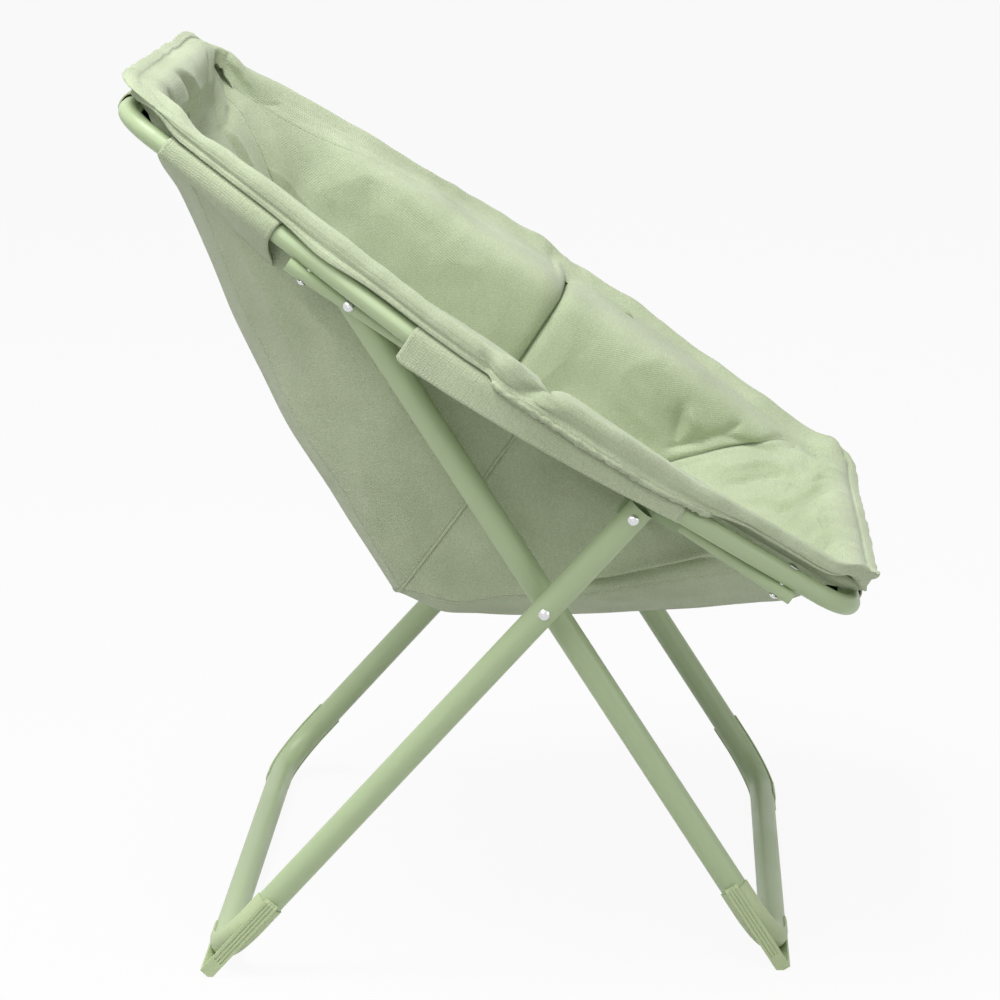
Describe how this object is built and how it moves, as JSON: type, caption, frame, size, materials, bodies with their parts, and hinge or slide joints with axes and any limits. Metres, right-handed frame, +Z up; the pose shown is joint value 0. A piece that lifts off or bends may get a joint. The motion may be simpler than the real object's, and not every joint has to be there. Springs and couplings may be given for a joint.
{
  "type": "folding saucer chair",
  "caption": "Folding saucer chair: padded bowl seat on a rounded six-sided tube ring, carried by two crossing U-shaped tube legs with ribbed foot caps.",
  "frame": {"origin": "on the floor under the middle of the whole open chair", "axes": "+Z up, -Y to the front where the sitter's knees are, +X to the sitter's left"},
  "size_m": [0.7062, 0.7051, 0.8166],
  "materials": {
    "cover": "matt woven cover over soft padding, sage green",
    "frame_paint": "semi-gloss powder coat, sage green",
    "bracket_paint": "powder-coated sheet steel, sage green",
    "foot_plastic": "smooth moulded plastic, light green",
    "rivet_chrome": "bright plated rivet heads"
  },
  "bodies": {
    "seat": {"seat_ring": "frame_paint", "rail_left": "frame_paint", "rail_right": "frame_paint", "frame_bolts": "rivet_chrome", "stop_sleeve_left": "bracket_paint", "stop_sleeve_right": "bracket_paint", "stop_rivets": "rivet_chrome", "cover_rim": "cover", "cover_back_panel": "cover", "cover_seat_panel": "cover", "cover_back_side_left": "cover", "cover_back_side_right": "cover", "cover_seat_side_left": "cover", "cover_seat_side_right": "cover", "cover_top_sleeve": "cover", "cover_front_sleeve": "cover", "cover_side_sleeve_left": "cover", "cover_side_sleeve_right": "cover", "cover_flap_left": "cover", "cover_flap_right": "cover"},
    "inner_legs": {"inner_leg_frame": "frame_paint", "inner_foot_left": "foot_plastic", "inner_foot_right": "foot_plastic", "rear_pivot_rivets": "rivet_chrome", "cross_rivet_tails": "rivet_chrome", "cross_spacers": "bracket_paint"},
    "outer_legs": {"outer_leg_frame": "frame_paint", "outer_foot_left": "foot_plastic", "outer_foot_right": "foot_plastic", "slider_rivets": "rivet_chrome", "cross_rivet_heads": "rivet_chrome"},
    "slider_right": {"slider_right": "bracket_paint"},
    "slider_left": {"slider_left": "bracket_paint"}
  },
  "joints": [
    {"name": "inner_leg_pivot", "type": "hinge", "parent": "seat", "child": "inner_legs", "pos_m": [0, 0.1304, 0.6241], "axis": [-1, 0, 0], "range_deg": [0, 20]},
    {"name": "slider_right_run", "type": "slide", "parent": "seat", "child": "slider_right", "axis": [0, 0.8316, 0.5553], "range_m": [0, 0.10912]},
    {"name": "slider_left_run", "type": "slide", "parent": "seat", "child": "slider_left", "axis": [0, 0.8316, 0.5553], "range_m": [0, 0.10912]},
    {"name": "outer_leg_fold", "type": "hinge", "parent": "slider_right", "child": "outer_legs", "pos_m": [0, -0.12524, 0.4374], "axis": [-1, 0, 0], "range_deg": [0, 94.56]}
  ],
  "couplings": [
    {"joint": "inner_leg_pivot", "follows": "outer_leg_fold", "ratio": 0.21143},
    {"joint": "slider_right_run", "follows": "outer_leg_fold", "m_per_rad": 0.066086},
    {"joint": "slider_left_run", "follows": "outer_leg_fold", "m_per_rad": 0.066086}
  ]
}
